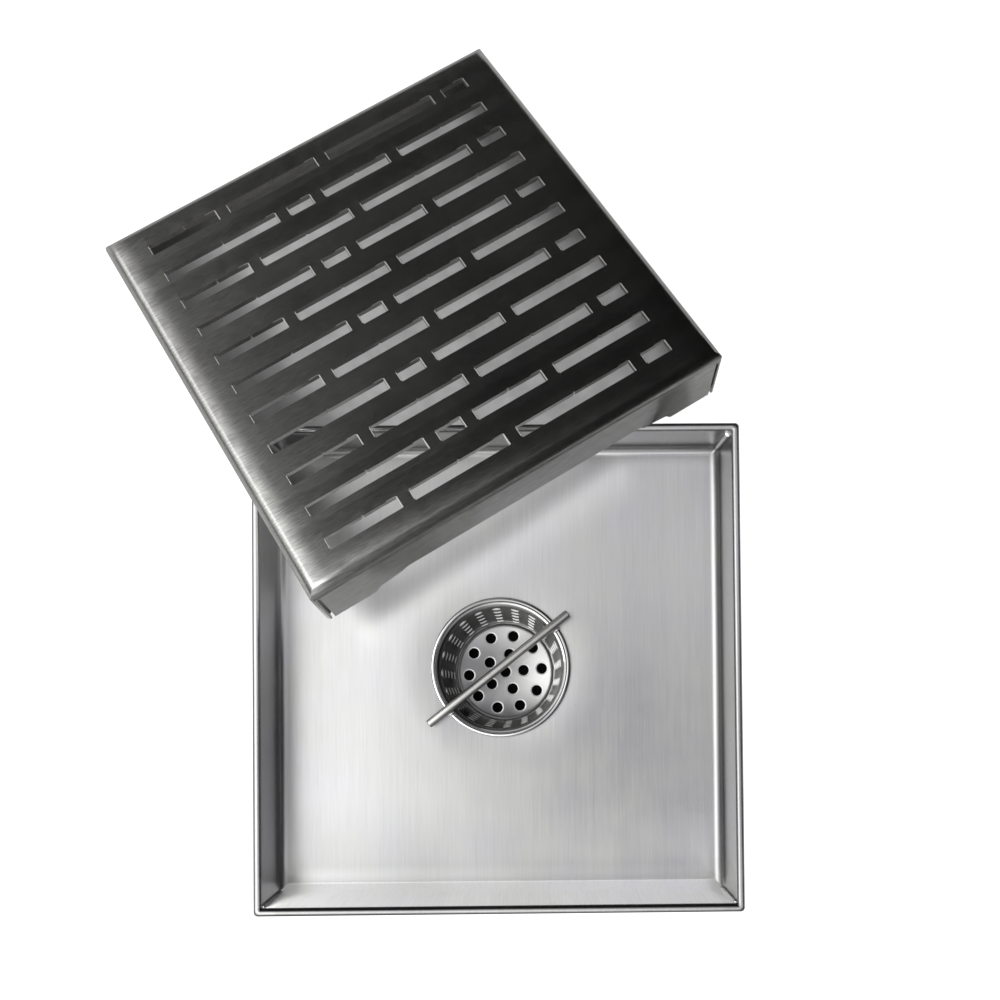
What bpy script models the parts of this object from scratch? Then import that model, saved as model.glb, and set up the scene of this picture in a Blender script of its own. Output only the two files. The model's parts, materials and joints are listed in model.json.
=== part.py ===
"""Square shower floor drain: a folded stainless tray with a short outlet stub,
a lift-out strainer basket, and a folded slotted grate.

The grate is lifted out, turned, and leans across the tray's rear left corner:
its relieved skirt edges rest on the rim and its far corner stands at about the
level of the stub's end.

Sizes are in millimetres and are scaled to metres as objects are made.  +X is
right, +Y is rear, +Z is up.  The world origin is level with the underside of
the tray's floor, BED_POINT in front of the outlet's axis.
"""

import math

import bmesh
import bpy
from mathutils import Matrix, Vector

MM = 0.001
GAP = 0.3                  # between neighbouring pieces
BED_POINT = 50.0           # world origin to the outlet's axis
OVERRUN = 2.0              # how far small cutters run past the sheet
DEEP_OVERRUN = 5.0         # how far the well and hollow cutters run past it

# ---------------------------------------------------------------------- tray
TRAY_SIDE = 152.4          # over the hemmed rim, nominal 6 inch
TRAY_INSIDE = 147.4        # between the walls
TRAY_SHEET = 1.2
TRAY_DEPTH = 21.0          # top of the floor to the top of the rim
TRAY_BEND = 3.0            # inside radius where the floor turns up
TRAY_BEND_SEGMENTS = 4
HEM_HEIGHT = 4.6
HEM_EDGE = 1.1             # rounding along the outer top of the hem
HEM_EDGE_SEGMENTS = 3
WALL_BELOW_RIM = 1.0       # the plain wall stops short inside the hem
LIP_CHAMFER = 0.9          # 45 degree chamfer along the inner top of the hem
LIP_OVERRUN = 1.0          # the chamfer's cutter runs on this far at both ends

BEAD_RADIUS = 1.1          # weld beads up the inside corners
BEAD_ABOVE_BEND = 0.6
BEAD_BELOW_RIM = 1.6
BEAD_EDGE = 0.4
BEAD_SEGMENTS = 12

RIM_Z = TRAY_SHEET + TRAY_DEPTH
TRAY_HALF_INSIDE = TRAY_INSIDE / 2

# -------------------------------------------------------------------- outlet
COLLAR_RADIUS = 21.5       # inside the drawn collar
COLLAR_OUTER = COLLAR_RADIUS + TRAY_SHEET
COLLAR_DROP = 4.0          # below the underside of the floor
COLLAR_OVERLAP = 0.6       # up into the floor
OUTLET_CUT_Z = (-12.0, 8.0)
STUB_END = 14.0            # underside of the floor to the end of the stub
OUTLET_WELD_RADIUS = 0.8
OUTLET_WELD_SIDES = 8
OUTLET_SEGMENTS = 48

# ------------------------------------------------------------------ strainer
RING_RADIUS = 22.3
RING_WIRE_RADIUS = 1.0
RING_WIRE_SIDES = 10
RING_SEGMENTS = 48
WALL_TOP_RADIUS = 21.0
WALL_FOOT_RADIUS = 17.2
WALL_SHEET = 0.6
BASKET_DEPTH = 11.5        # centre of the ring's wire to the foot
SLIT_COLUMNS = 20
SLIT_ROWS = 5
SLIT_WIDTH = 2.1
SLIT_HEIGHT = 0.9
WALL_FACETS = 2 * SLIT_COLUMNS     # one to each column and one between columns
BASE_HOLE_RADIUS = 1.75
BASE_HOLE_SEGMENTS = 12
BASE_RINGS = ((1, 0.0), (5, 6.3), (10, 12.6))      # hole count, ring radius
BASE_TURN = math.radians(5.0)

ROD_RADIUS = 1.25
ROD_LENGTH = 58.8
ROD_TURN = math.radians(38.0)      # from +X
ROD_SHIFT = -0.8                   # along its own length
ROD_EDGE = 0.25
ROD_SEGMENTS = 20
TACK_RADIUS = 0.75
TACK_STRETCH = (1.5, 1.0, 0.8)     # along the rod, across it, upward

RING_Z = TRAY_SHEET + GAP + RING_WIRE_RADIUS
BASKET_FOOT_Z = RING_Z - BASKET_DEPTH
ROD_SEAT_Z = RING_Z + RING_WIRE_RADIUS + GAP       # underside of rod and tacks

# --------------------------------------------------------------------- grate
GRATE_SIDE = 141.0
GRATE_SHEET = 1.5
GRATE_DEPTH = 20.5         # top face to the ends of the corner legs
GRATE_BEND = 3.6           # outside radius of the folded edges
GRATE_BEND_SEGMENTS = 5
CORNER_SLIT = 2.6          # opening at each corner, square in plan
CORNER_SLIT_BELOW_BEND = 0.4
GRATE_HALF = GRATE_SIDE / 2

# One end of the relief cut between two corner legs; the other mirrors it.
# Columns: distance from the grate's corner, height above the legs' ends.
RELIEF = ((17.0, 0.0), (18.8, 2.3), (26.6, 3.5), (28.8, 4.8))
RELIEF_FLARE = 1.2         # how far the cutter spreads below the legs
RELIEF_CUT_INWARD = 4.0

SLOT_WIDTH = 4.1
SLOT_PITCH = 11.79
SLOT_ROWS = 11
SLOT_WEB = 4.4             # metal between slots in a row
SLOT_CUT_Z = (-4.0, 3.0)
# slot lengths from left to right, rows counted from the rear
ODD_ROW_SLOTS = (23.5, 31.7, 39.2, 8.2)
EVEN_ROW_SLOTS = (39.2, 8.2, 23.5, 31.7)

# centre of the grate's top face from the outlet's axis, height from the rim
LEAN_AT = (-28.24, 114.18, 5.0)
LEAN_ANGLES = (-13.014, 4.831, 31.179)     # degrees about X, Y and Z


# ------------------------------------------------------------- shape helpers
def add_box(shape, low, high):
    """A box between two corners; returns its vertices."""
    low, high = Vector(low), Vector(high)
    matrix = Matrix.Translation((low + high) / 2) @ Matrix.Diagonal((*(high - low), 1.0))
    return bmesh.ops.create_cube(shape, size=1.0, matrix=matrix)["verts"]


def add_cylinder(shape, radius, low, high, segments, place=Matrix.Identity(4)):
    """A cylinder along Z from low to high, then placed."""
    bmesh.ops.create_cone(
        shape, cap_ends=True, segments=segments, radius1=radius, radius2=radius,
        depth=high - low, matrix=place @ Matrix.Translation((0.0, 0.0, (high + low) / 2)))


def add_prism(shape, outline, low, high, place):
    """Extrudes a closed outline of (x, z) from y = low to y = high, then places it."""
    near = [shape.verts.new(place @ Vector((x, low, z))) for x, z in outline]
    face = shape.faces.new(near)
    made = bmesh.ops.extrude_face_region(shape, geom=[face])["geom"]
    bmesh.ops.translate(shape, vec=place.to_3x3() @ Vector((0.0, high - low, 0.0)),
                        verts=[item for item in made if isinstance(item, bmesh.types.BMVert)])


def bevel_edges(shape, wanted, width, segments):
    """Bevels the edges whose two end points satisfy wanted(start, end)."""
    edges = [edge for edge in shape.edges
             if wanted(edge.verts[0].co, edge.verts[1].co)]
    bmesh.ops.bevel(shape, geom=edges, offset=width, segments=segments,
                    profile=0.5, affect="EDGES", clamp_overlap=True)


def rounded_block(half, bottom, top, round_z, radius, segments):
    """A centred square block with its four edges at height round_z rounded."""
    shape = bmesh.new()
    add_box(shape, (-half, -half, bottom), (half, half, top))
    bevel_edges(shape,
                lambda start, end: max(abs(start.z - round_z), abs(end.z - round_z)) < 0.001,
                radius, segments)
    return shape


def circle_outline(centre_radius, centre_z, radius, count):
    """A closed outline run clockwise, so that a Screw on it faces out."""
    angles = [-math.tau * i / count for i in range(count)]
    return [(centre_radius + radius * math.cos(angle), centre_z + radius * math.sin(angle))
            for angle in angles]


# ------------------------------------------------------------ object helpers
def clear_scene():
    for obj in list(bpy.data.objects):
        bpy.data.objects.remove(obj, do_unlink=True)


def new_collection(name):
    made = bpy.data.collections.new(name)
    bpy.context.scene.collection.children.link(made)
    return made


def steel(name, colour, roughness):
    material = bpy.data.materials.new(name)
    material.use_nodes = True
    inputs = material.node_tree.nodes["Principled BSDF"].inputs
    inputs["Base Color"].default_value = (*colour, 1.0)
    inputs["Roughness"].default_value = roughness
    inputs["Metallic"].default_value = 1.0
    return material


def mesh_object(shape, name, parent, home):
    """Turns a shape in millimetres into an object in the collection `home`."""
    bmesh.ops.scale(shape, vec=(MM, MM, MM), verts=shape.verts)
    if len(shape.faces):           # the outline of a turned part has none
        bmesh.ops.recalc_face_normals(shape, faces=shape.faces)
    mesh = bpy.data.meshes.new(name)
    shape.to_mesh(mesh)
    shape.free()
    obj = bpy.data.objects.new(name, mesh)
    home.objects.link(obj)
    obj.parent = parent
    return obj


def part(shape, name, parent, material, smooth=None):
    """A visible piece, smooth shaded below the angle `smooth` in degrees."""
    obj = mesh_object(shape, name, parent, PARTS)
    obj.data.materials.append(material)
    if smooth:
        obj.data.shade_smooth()
        obj.data.set_sharp_from_angle(angle=math.radians(smooth))
    return obj


def turned(name, profile, segments, parent, material):
    """A closed (radius, height) outline, given clockwise seen with +X right
    and +Z up, spun once round the Z axis."""
    shape = bmesh.new()
    verts = [shape.verts.new((radius, 0.0, z)) for radius, z in profile]
    for start, end in zip(verts, verts[1:] + verts[:1]):
        shape.edges.new((start, end))
    obj = part(shape, name, parent, material)
    screw = obj.modifiers.new("turn", "SCREW")
    screw.axis = "Z"
    screw.steps = screw.render_steps = segments
    screw.use_merge_vertices = True
    screw.merge_threshold = 0.000001
    screw.use_smooth_shade = True
    return obj


def boolean(target, operation, shape, name):
    """Joins or cuts target with a hidden helper made from the shape."""
    helper = mesh_object(shape, name, target.parent, CUTTERS)
    helper.hide_render = True
    helper.display_type = "WIRE"
    modifier = target.modifiers.new(f"{operation.lower()}_{name}", "BOOLEAN")
    modifier.operation = operation
    modifier.object = helper
    modifier.solver = "EXACT"


def empty(name, location, parent=None, rotation=(0.0, 0.0, 0.0)):
    obj = bpy.data.objects.new(name, None)
    obj.empty_display_size = 0.02
    PARTS.objects.link(obj)
    obj.location = Vector(location) * MM
    obj.rotation_euler = rotation
    obj.parent = parent
    return obj


# ------------------------------------------------------------------ the tray
def lip_cutter():
    """A block flaring upward, which chamfers the inner top of the hem."""
    reach = TRAY_HALF_INSIDE + LIP_CHAMFER + LIP_OVERRUN
    foot = TRAY_HALF_INSIDE - LIP_OVERRUN
    shape = bmesh.new()
    verts = add_box(shape, (-reach, -reach, RIM_Z - LIP_CHAMFER - LIP_OVERRUN),
                    (reach, reach, RIM_Z + LIP_OVERRUN))
    for vert in verts:
        if vert.co.z < RIM_Z:
            vert.co.x = math.copysign(foot, vert.co.x)
            vert.co.y = math.copysign(foot, vert.co.y)
    return shape


def build_pan(root):
    """The folded sheet with its hem, and the collar drawn down at the outlet."""
    pan = part(rounded_block(TRAY_HALF_INSIDE + TRAY_SHEET, 0.0, RIM_Z - WALL_BELOW_RIM,
                             0.0, TRAY_BEND + TRAY_SHEET, TRAY_BEND_SEGMENTS),
               "tray_pan", root, STEEL_TRAY, smooth=30.0)
    hem = rounded_block(TRAY_SIDE / 2, RIM_Z - HEM_HEIGHT, RIM_Z,
                        RIM_Z, HEM_EDGE, HEM_EDGE_SEGMENTS)
    boolean(pan, "UNION", hem, "hem_block")
    well = rounded_block(TRAY_HALF_INSIDE, TRAY_SHEET, RIM_Z + DEEP_OVERRUN,
                         TRAY_SHEET, TRAY_BEND, TRAY_BEND_SEGMENTS)
    boolean(pan, "DIFFERENCE", well, "well_cutter")
    boolean(pan, "DIFFERENCE", lip_cutter(), "lip_cutter")

    collar = bmesh.new()
    add_cylinder(collar, COLLAR_OUTER, -COLLAR_DROP, COLLAR_OVERLAP, OUTLET_SEGMENTS)
    boolean(pan, "UNION", collar, "collar_block")
    outlet_hole = bmesh.new()
    add_cylinder(outlet_hole, COLLAR_RADIUS, *OUTLET_CUT_Z, OUTLET_SEGMENTS)
    boolean(pan, "DIFFERENCE", outlet_hole, "outlet_cutter")


def build_corner_welds(root):
    """Beads up the four inside corners, which close the folded sheet."""
    offset = (TRAY_HALF_INSIDE - GAP - BEAD_RADIUS) * MM
    for depth_name, side_y in (("front", -1), ("rear", 1)):
        for side_name, side_x in (("left", -1), ("right", 1)):
            shape = bmesh.new()
            add_cylinder(shape, BEAD_RADIUS, TRAY_SHEET + TRAY_BEND + BEAD_ABOVE_BEND,
                         RIM_Z - BEAD_BELOW_RIM, BEAD_SEGMENTS)
            bevel_edges(shape, lambda start, end: abs(start.z - end.z) < 1e-6,
                        BEAD_EDGE, segments=2)
            bead = part(shape, f"corner_weld_{depth_name}_{side_name}", root,
                        STEEL_WELD, smooth=40.0)
            bead.location = (side_x * offset, side_y * offset, 0.0)


def build_stub(root):
    """The stub butted under the collar."""
    top = -COLLAR_DROP - GAP
    turned("outlet_stub",
           ((COLLAR_OUTER, top), (COLLAR_OUTER, -STUB_END),
            (COLLAR_RADIUS, -STUB_END), (COLLAR_RADIUS, top)),
           OUTLET_SEGMENTS, root, STEEL_TRAY)


def build_outlet_weld(root):
    """The weld round the joint of collar and stub."""
    turned("outlet_weld",
           circle_outline(COLLAR_OUTER + GAP + OUTLET_WELD_RADIUS, -COLLAR_DROP,
                          OUTLET_WELD_RADIUS, OUTLET_WELD_SIDES),
           OUTLET_SEGMENTS, root, STEEL_WELD)


# -------------------------------------------------------------- the strainer
def build_strainer_rim(holder):
    turned("strainer_rim",
           circle_outline(RING_RADIUS, RING_Z, RING_WIRE_RADIUS, RING_WIRE_SIDES),
           RING_SEGMENTS, holder, STEEL_POLISHED)


def build_strainer_wall(holder):
    """The conical wall, with a column of slits in every other facet."""
    wall = turned("strainer_wall",
                  ((WALL_TOP_RADIUS, RING_Z),
                   (WALL_FOOT_RADIUS, BASKET_FOOT_Z),
                   (WALL_FOOT_RADIUS - WALL_SHEET, BASKET_FOOT_Z),
                   (WALL_TOP_RADIUS - WALL_SHEET, RING_Z)),
                  WALL_FACETS, holder, STEEL_BASKET)
    half_slit = Vector((OVERRUN, SLIT_WIDTH / 2, SLIT_HEIGHT / 2))
    slits = bmesh.new()
    for column in range(SLIT_COLUMNS):
        angle = math.tau * (column + 0.25) / SLIT_COLUMNS      # middle of the facet
        for row in range(SLIT_ROWS):
            share = (row + 1.0) / (SLIT_ROWS + 1.0)
            radius = WALL_TOP_RADIUS + (WALL_FOOT_RADIUS - WALL_TOP_RADIUS) * share
            z = RING_Z - BASKET_DEPTH * share
            place = (Matrix.Rotation(angle, 4, "Z")
                     @ Matrix.Translation((radius - WALL_SHEET / 2, 0.0, z)))
            verts = add_box(slits, -half_slit, half_slit)
            bmesh.ops.transform(slits, matrix=place, verts=verts)
    boolean(wall, "DIFFERENCE", slits, "slit_cutter")


def build_strainer_base(holder):
    """The punched disc, seated inside the foot of the wall."""
    disc = bmesh.new()
    add_cylinder(disc, WALL_FOOT_RADIUS - WALL_SHEET - GAP,
                 BASKET_FOOT_Z, BASKET_FOOT_Z + WALL_SHEET, WALL_FACETS)
    base = part(disc, "strainer_base", holder, STEEL_BASKET)

    middle = BASKET_FOOT_Z + WALL_SHEET / 2
    holes = bmesh.new()
    for count, ring in BASE_RINGS:
        for i in range(count):
            angle = BASE_TURN + math.tau * i / count
            place = Matrix.Translation((ring * math.cos(angle), ring * math.sin(angle), 0.0))
            add_cylinder(holes, BASE_HOLE_RADIUS, middle - OVERRUN, middle + OVERRUN,
                         BASE_HOLE_SEGMENTS, place)
    boolean(base, "DIFFERENCE", holes, "hole_cutter")


def build_rod(holder):
    """The lifting rod across the rim."""
    shape = bmesh.new()
    place = Matrix.Translation((ROD_SHIFT, 0.0, 0.0)) @ Matrix.Rotation(math.pi / 2, 4, "Y")
    add_cylinder(shape, ROD_RADIUS, -ROD_LENGTH / 2, ROD_LENGTH / 2, ROD_SEGMENTS, place)
    bevel_edges(shape, lambda start, end: abs(start.x - end.x) < 1e-6, ROD_EDGE, segments=1)
    rod = part(shape, "strainer_rod", holder, STEEL_ROD, smooth=40.0)
    rod.location = (0.0, 0.0, (ROD_SEAT_Z + ROD_RADIUS) * MM)
    rod.rotation_euler = (0.0, 0.0, ROD_TURN)


def build_rod_welds(holder):
    """A tack on the rim beside each end of the rod."""
    aside = ROD_RADIUS + GAP + TACK_RADIUS
    along = math.sqrt(RING_RADIUS ** 2 - aside ** 2)       # puts it over the ring's wire
    z = ROD_SEAT_Z + TACK_RADIUS * TACK_STRETCH[2]
    for name, side in (("rod_weld_front", -1), ("rod_weld_rear", 1)):
        shape = bmesh.new()
        bmesh.ops.create_uvsphere(shape, u_segments=12, v_segments=8, radius=TACK_RADIUS)
        bmesh.ops.scale(shape, vec=TACK_STRETCH, verts=shape.verts)
        weld = part(shape, name, holder, STEEL_WELD, smooth=60.0)
        at = Matrix.Rotation(ROD_TURN, 4, "Z") @ Vector((side * along, -aside, z))
        weld.location = at * MM
        weld.rotation_euler = (0.0, 0.0, ROD_TURN)


# ----------------------------------------------------------------- the grate
def skirt_cutter():
    """Opens the corners below the fold and relieves the skirt between the legs."""
    shape = bmesh.new()
    inner, outer = GRATE_HALF - CORNER_SLIT, GRATE_HALF + OVERRUN
    bottom = -GRATE_DEPTH - OVERRUN
    for side_x in (-1, 1):
        for side_y in (-1, 1):
            left, right = sorted((side_x * inner, side_x * outer))
            front, rear = sorted((side_y * inner, side_y * outer))
            add_box(shape, (left, front, bottom),
                    (right, rear, -GRATE_BEND - CORNER_SLIT_BELOW_BEND))

    outline = [(-GRATE_HALF + along, -GRATE_DEPTH + height) for along, height in RELIEF]
    outline.insert(0, (outline[0][0] - RELIEF_FLARE, bottom))
    outline += [(-x, z) for x, z in reversed(outline)]
    for quarter in range(4):
        add_prism(shape, outline, GRATE_HALF - RELIEF_CUT_INWARD, outer,
                  Matrix.Rotation(quarter * math.pi / 2, 4, "Z"))
    return shape


def slot_cutter():
    """Rows of slots, with two orders of lengths taking turns."""
    shape = bmesh.new()
    bottom, top = SLOT_CUT_Z
    for row in range(SLOT_ROWS):
        lengths = EVEN_ROW_SLOTS if row % 2 else ODD_ROW_SLOTS     # row 0 is the first
        y = SLOT_PITCH * ((SLOT_ROWS - 1) / 2 - row)
        left = -(sum(lengths) + SLOT_WEB * (len(lengths) - 1)) / 2
        for length in lengths:
            add_box(shape, (left, y - SLOT_WIDTH / 2, bottom),
                    (left + length, y + SLOT_WIDTH / 2, top))
            left += length + SLOT_WEB
    return shape


def build_grate(holder):
    """The folded sheet, with the middle of its top face at the local origin."""
    grate = part(rounded_block(GRATE_HALF, -GRATE_DEPTH, 0.0,
                               0.0, GRATE_BEND, GRATE_BEND_SEGMENTS),
                 "grate_plate", holder, STEEL_GRATE, smooth=30.0)
    hollow = rounded_block(GRATE_HALF - GRATE_SHEET, -GRATE_DEPTH - DEEP_OVERRUN, -GRATE_SHEET,
                           -GRATE_SHEET, GRATE_BEND - GRATE_SHEET, GRATE_BEND_SEGMENTS)
    boolean(grate, "DIFFERENCE", hollow, "hollow_cutter")
    boolean(grate, "DIFFERENCE", skirt_cutter(), "skirt_cutter")
    boolean(grate, "DIFFERENCE", slot_cutter(), "slot_cutter")


# --------------------------------------------------------------------- build
clear_scene()
PARTS = new_collection("floor_drain")
CUTTERS = new_collection("cutters")

STEEL_TRAY = steel("tray_steel", colour=(0.66, 0.66, 0.67), roughness=0.34)
STEEL_WELD = steel("weld_steel", colour=(0.60, 0.60, 0.60), roughness=0.45)
STEEL_POLISHED = steel("polished_steel", colour=(0.72, 0.72, 0.72), roughness=0.14)
STEEL_BASKET = steel("basket_steel", colour=(0.58, 0.58, 0.57), roughness=0.30)
STEEL_ROD = steel("rod_steel", colour=(0.50, 0.50, 0.49), roughness=0.32)
STEEL_GRATE = steel("grate_steel", colour=(0.16, 0.155, 0.15), roughness=0.36)

outlet_axis = empty("outlet_axis", (0.0, BED_POINT, 0.0))
build_pan(outlet_axis)
build_corner_welds(outlet_axis)
build_stub(outlet_axis)
build_outlet_weld(outlet_axis)

strainer_axis = empty("strainer_axis", (0.0, 0.0, 0.0), outlet_axis)
build_strainer_rim(strainer_axis)
build_strainer_wall(strainer_axis)
build_strainer_base(strainer_axis)
build_rod(strainer_axis)
build_rod_welds(strainer_axis)

grate_axis = empty("grate_axis", (LEAN_AT[0], LEAN_AT[1], RIM_Z + LEAN_AT[2]), outlet_axis,
                   rotation=[math.radians(angle) for angle in LEAN_ANGLES])
build_grate(grate_axis)
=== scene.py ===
"""Looks for a square shower floor drain: brushed tray, strainer basket and leaning grate.

The tray lies flat, centred on OUTLET, with the underside of its floor at z = 0 and its
outlet pipe pointing down. +X is right, +Y is the rear. The strainer sits in the outlet.
The grate leans across the rear rim. Sizes are in millimetres unless a comment says
otherwise, and pieces are scaled to metres by MM.
"""

import json
import math

import bmesh
import bpy
from mathutils import Euler, Matrix, Vector, noise

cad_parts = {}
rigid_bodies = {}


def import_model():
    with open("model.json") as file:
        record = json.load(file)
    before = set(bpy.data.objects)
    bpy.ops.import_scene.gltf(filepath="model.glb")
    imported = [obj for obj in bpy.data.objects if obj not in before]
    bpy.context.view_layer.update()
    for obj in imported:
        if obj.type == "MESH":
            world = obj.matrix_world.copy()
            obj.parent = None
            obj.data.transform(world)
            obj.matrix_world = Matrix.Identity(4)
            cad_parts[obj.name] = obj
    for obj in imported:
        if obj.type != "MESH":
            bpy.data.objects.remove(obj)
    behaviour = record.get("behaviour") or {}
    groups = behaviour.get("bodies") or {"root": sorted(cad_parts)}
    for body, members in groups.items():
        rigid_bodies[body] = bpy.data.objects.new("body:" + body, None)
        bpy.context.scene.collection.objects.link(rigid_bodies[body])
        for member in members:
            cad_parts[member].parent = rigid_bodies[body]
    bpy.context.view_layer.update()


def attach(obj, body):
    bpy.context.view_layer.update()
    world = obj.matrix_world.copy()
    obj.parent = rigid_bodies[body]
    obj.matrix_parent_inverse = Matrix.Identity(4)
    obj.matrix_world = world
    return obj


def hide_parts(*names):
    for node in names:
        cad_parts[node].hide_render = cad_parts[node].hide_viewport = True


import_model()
scene = bpy.context.scene
MM = 0.001
TAU = 2 * math.pi
X, Y, Z = 0, 1, 2

# ---------------------------------------------------------------- dimensions
OUTLET = Vector((0.0, 50.0, 0.0))

TRAY_SIDE, TRAY_INSIDE, TRAY_SHEET, TRAY_DEPTH, TRAY_BEND = 152.4, 147.4, 1.2, 21.0, 3.0
HEM_HEIGHT = 4.6
RIM_Z = TRAY_SHEET + TRAY_DEPTH
COLLAR_R, COLLAR_DROP, STUB_END = 21.5, 4.0, 14.0
COLLAR_OUTER_R = COLLAR_R + TRAY_SHEET

RING_R, RING_WIRE = 22.3, 1.0
WALL_TOP_R, WALL_FOOT_R, WALL_SHEET, BASKET_DEPTH = 20.95, 17.2, 0.45, 11.5
RING_Z = TRAY_SHEET + 0.3 + RING_WIRE
FOOT_Z = RING_Z - BASKET_DEPTH
# the basket sits a little off centre, and its foot is skewed forward and right
BASKET_TOP, BASKET_FOOT = Vector((0.20, 0.40, 0.0)), Vector((1.45, -1.15, 0.0))
ROD_R, ROD_LENGTH, ROD_SHIFT = 1.25, 58.8, -0.8
ROD_TURN = math.radians(38.0)

GRATE_SIDE, GRATE_SHEET, GRATE_DEPTH, GRATE_BEND = 141.0, 1.5, 20.5, 3.6
GRATE_HALF = GRATE_SIDE / 2
GRATE_FLAT = GRATE_HALF - GRATE_BEND
SLOT_WIDTH, SLOT_PITCH, SLOT_ROWS, SLOT_WEB = 4.1, 11.79, 11, 4.4
SLOT_LENGTHS = (39.2, 31.7, 23.5, 8.2)
# which lengths follow each other from left to right, in alternate rows
SLOT_ODD, SLOT_EVEN = (2, 1, 0, 3), (0, 3, 2, 1)
# distances from a corner where the grate sheet is divided to follow the skirt's relief
RELIEF_STATIONS = ([16.6 + 0.43 * i for i in range(7)] + [22.7]
                   + [26.2 + 0.5 * i for i in range(7)])
GRATE_PLACE = (Matrix.Translation(Vector((-28.24, 164.18, 5.0 + RIM_Z)) * MM)
               @ Euler([math.radians(a) for a in (-13.014, 4.831, 31.179)]).to_matrix().to_4x4())

CAMERA_PLACE = Vector((11.09, OUTLET.y - 0.616, RIM_Z + 269.96)) * MM


def mm(*lengths):
    """Millimetres to metres, as a tuple."""
    return tuple(length * MM for length in lengths)


# -------------------------------------------------------------- shader nodes
def operator(kind):
    return lambda self, other: self.nodes.math(kind, self, other)


class Signal:
    """A number from a node. Arithmetic and comparisons on it add math nodes."""

    def __init__(self, nodes, socket):
        self.nodes = nodes
        self.socket = socket

    __add__ = operator("ADD")
    __sub__ = operator("SUBTRACT")
    __mul__ = operator("MULTIPLY")
    __truediv__ = operator("DIVIDE")
    __lt__ = operator("LESS_THAN")
    __gt__ = operator("GREATER_THAN")

    def __rsub__(self, other):
        return self.nodes.math("SUBTRACT", other, self)

    def __abs__(self):
        return self.nodes.math("ABSOLUTE", self)


# the Mix node's two inputs and its output, for each kind of data
MIX_SOCKETS = {"RGBA": (6, 7, 2), "VECTOR": (4, 5, 1)}


class NodeTree:
    """A short way to write a node tree."""

    def __init__(self, tree):
        self.tree = tree

    def add(self, kind, inputs=None, **props):
        node = self.tree.nodes.new("ShaderNode" + kind)
        for key, value in props.items():
            setattr(node, key, value)
        for key, value in (inputs or {}).items():
            self.put(node.inputs[key], value)
        return node

    def put(self, socket, value):
        if isinstance(value, Signal):
            value = value.socket
        if isinstance(value, bpy.types.NodeSocket):
            self.tree.links.new(value, socket)
        else:
            socket.default_value = value

    def math(self, operation, first, second=0.0, third=0.0, clamp=False):
        inputs = {0: first, 1: second, 2: third}
        node = self.add("Math", inputs, operation=operation, use_clamp=clamp)
        return Signal(self, node.outputs[0])

    def multiply_add(self, value, factor, addend):
        return self.math("MULTIPLY_ADD", value, factor, addend)

    def around(self, middle, pattern, amount, clamp=False):
        """The middle value, swung up and down by a 0..1 pattern."""
        return self.math("MULTIPLY_ADD", pattern - 0.5, amount, middle, clamp)

    def vec(self, operation, first, second=None):
        node = self.add("VectorMath", {0: first}, operation=operation)
        if second is not None:
            self.put(node.inputs[3 if operation == "SCALE" else 1], second)
        if operation in ("DOT_PRODUCT", "LENGTH"):
            return Signal(self, node.outputs["Value"])
        return node.outputs[0]

    def dot(self, first, second):
        return self.vec("DOT_PRODUCT", first, second)

    def scale(self, vector, factor):
        return self.vec("SCALE", vector, factor)

    def add_unit(self, first, second):
        return self.vec("NORMALIZE", self.vec("ADD", first, second))

    def split(self, vector):
        node = self.add("SeparateXYZ", {"Vector": vector})
        return [Signal(self, output) for output in node.outputs]

    def component(self, vector, axis):
        return self.split(vector)[axis]

    def combine(self, x, y, z):
        return self.add("CombineXYZ", {0: x, 1: y, 2: z}).outputs[0]

    def convert(self, vector, source, target, kind="VECTOR"):
        return self.add("VectorTransform", {"Vector": vector}, vector_type=kind,
                        convert_from=source, convert_to=target).outputs[0]

    def mix(self, factor, first, second, kind="RGBA"):
        low, high, result = MIX_SOCKETS[kind]
        node = self.add("Mix", data_type=kind)
        self.put(node.inputs["Factor"], factor)
        self.put(node.inputs[low], first)
        self.put(node.inputs[high], second)
        return node.outputs[result]

    def noise(self, vector, scale=1.0, detail=2.0, rough=0.5):
        node = self.add("TexNoise", {"Scale": scale, "Detail": detail, "Roughness": rough,
                                     "Vector": vector})
        return Signal(self, node.outputs["Fac"])

    def band(self, value, span, to=(0.0, 1.0)):
        """Smooth step over a span of the value, from one result to another."""
        inputs = dict(enumerate((value, *span, *to)))
        node = self.add("MapRange", inputs, interpolation_type="SMOOTHSTEP")
        return Signal(self, node.outputs[0])

    def ramp(self, value, stops, low=-1.0, high=1.0, top=2.0):
        """Piecewise curve of a value in low..high, with results up to top."""
        place = self.math("DIVIDE", self.math("SUBTRACT", value, low), high - low)
        node = self.add("ValToRGB", {0: place})
        points = node.color_ramp.elements
        while len(points) < len(stops):
            points.new(0.5)
        for point, (at, _) in zip(points, stops):
            point.position = (at - low) / (high - low)
        for point, (_, result) in zip(points, stops):
            point.color = (result / top, result / top, result / top, 1.0)
        return self.math("MULTIPLY", node.outputs["Color"], top)

    def bump(self, strength, distance, height):
        return self.add("Bump", {"Strength": strength, "Distance": distance,
                                 "Height": height}).outputs[0]

    def coords(self, kind="Object"):
        return self.add("TexCoord").outputs[kind]

    def geometry(self, output):
        return self.add("NewGeometry").outputs[output]

    def camera_ray(self):
        return Signal(self, self.add("LightPath").outputs["Is Camera Ray"])


class Material(NodeTree):
    """A new material and its Principled shader."""

    def __init__(self, name):
        self.mat = bpy.data.materials.new(name)
        self.mat.use_nodes = True
        super().__init__(self.mat.node_tree)
        self.shader = self.tree.nodes["Principled BSDF"]

    def set(self, **values):
        for key, value in values.items():
            self.put(self.shader.inputs[key.replace("_", " ")], value)


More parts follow.
